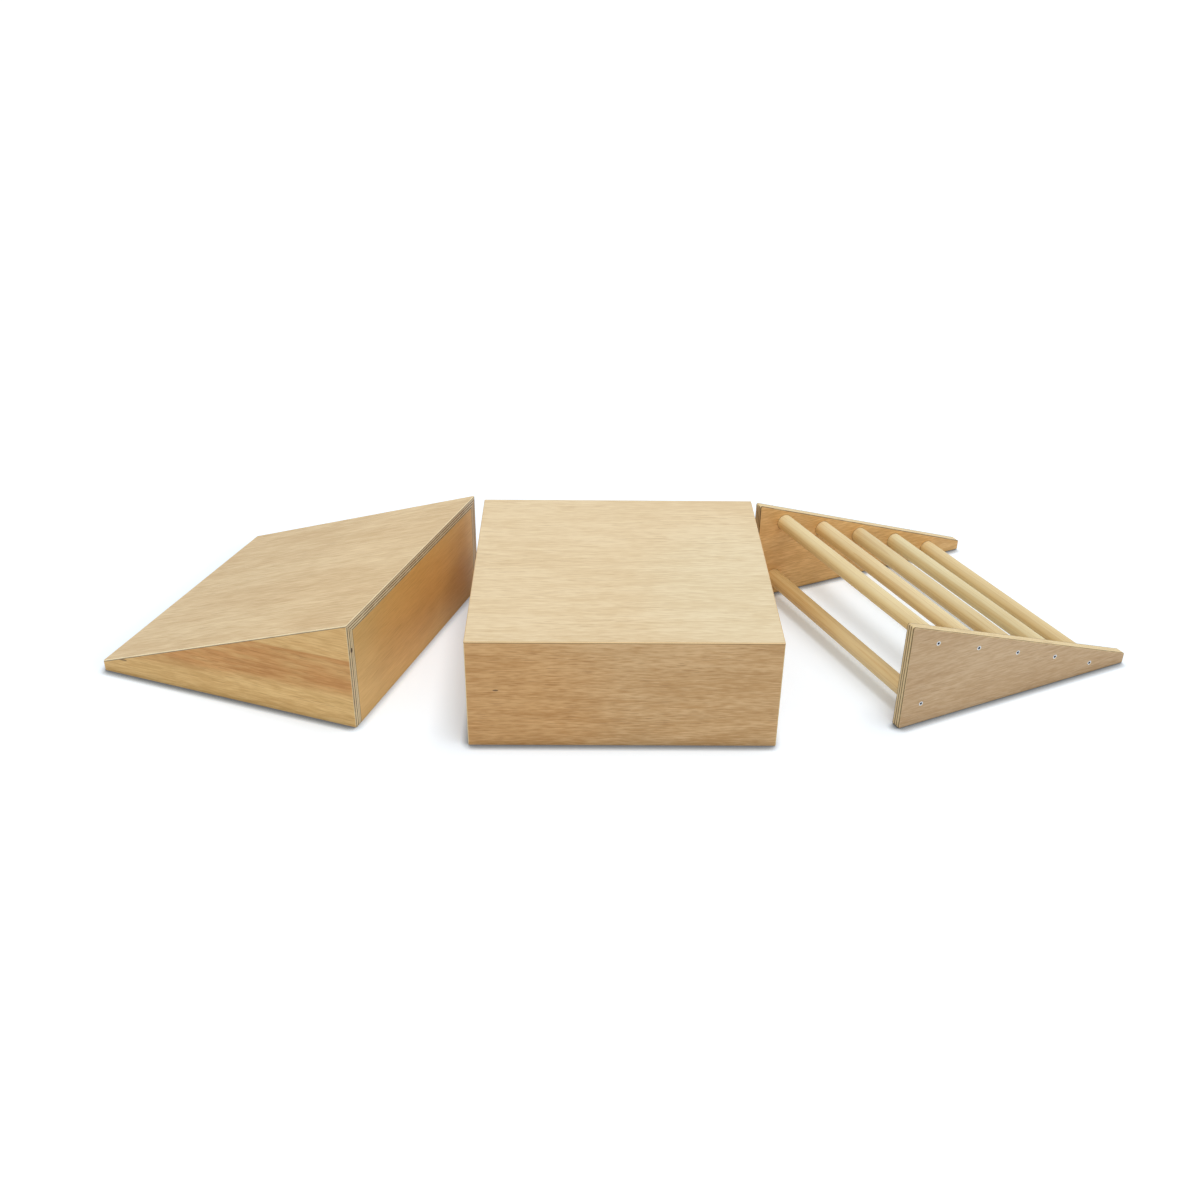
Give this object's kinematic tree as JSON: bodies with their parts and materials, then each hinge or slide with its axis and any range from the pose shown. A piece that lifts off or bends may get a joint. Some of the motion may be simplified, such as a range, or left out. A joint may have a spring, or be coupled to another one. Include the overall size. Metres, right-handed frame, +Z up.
{
  "type": "toddler climbing set",
  "caption": "Low wooden climbing set for toddlers: a plywood ramp, a square platform box and a wedge-shaped ladder with round rungs, standing side by side on the floor.",
  "frame": {"origin": "on the floor, under the middle of the box round the three units as they stand", "axes": "+Z up; -Y is the front; the ramp is at -X and the ladder at +X of the platform"},
  "size_m": [1.8276, 0.6992, 0.2],
  "materials": {
    "plywood": "clear matt lacquer",
    "dowel": "clear matt lacquer",
    "battens": "bare planed softwood",
    "screws": "bright zinc"
  },
  "bodies": {
    "platform": {"platform_top": "plywood", "platform_front": "plywood", "platform_right": "plywood", "platform_back": "plywood", "platform_left": "plywood", "platform_batten_front": "battens", "platform_batten_right": "battens", "platform_batten_back": "battens", "platform_batten_left": "battens", "platform_post_front_left": "battens", "platform_post_front_right": "battens", "platform_post_back_left": "battens", "platform_post_back_right": "battens"},
    "ramp": {"ramp_deck": "plywood", "ramp_side_front": "plywood", "ramp_side_back": "plywood", "ramp_end": "plywood", "ramp_batten_front": "battens", "ramp_batten_back": "battens", "ramp_batten_end": "battens", "ramp_post_front": "battens", "ramp_post_back": "battens"},
    "ladder": {"ladder_side_front": "plywood", "ladder_side_back": "plywood", "ladder_rung_1": "dowel", "ladder_rung_2": "dowel", "ladder_rung_3": "dowel", "ladder_rung_4": "dowel", "ladder_rung_5": "dowel", "ladder_rung_low": "dowel", "ladder_screws_front": "screws", "ladder_screws_back": "screws"}
  },
  "joints": [
    {"name": "ramp_turn", "type": "hinge", "parent": "platform", "child": "ramp", "pos_m": [-0.21903, 0.21259, 0], "axis": [0, 0, 1], "range_deg": [-25.2, 19.8]},
    {"name": "ladder_turn", "type": "hinge", "parent": "platform", "child": "ladder", "pos_m": [0.25794, 0.16308, 0], "axis": [0, 0, 1], "range_deg": [-24.5, 20.5]}
  ]
}
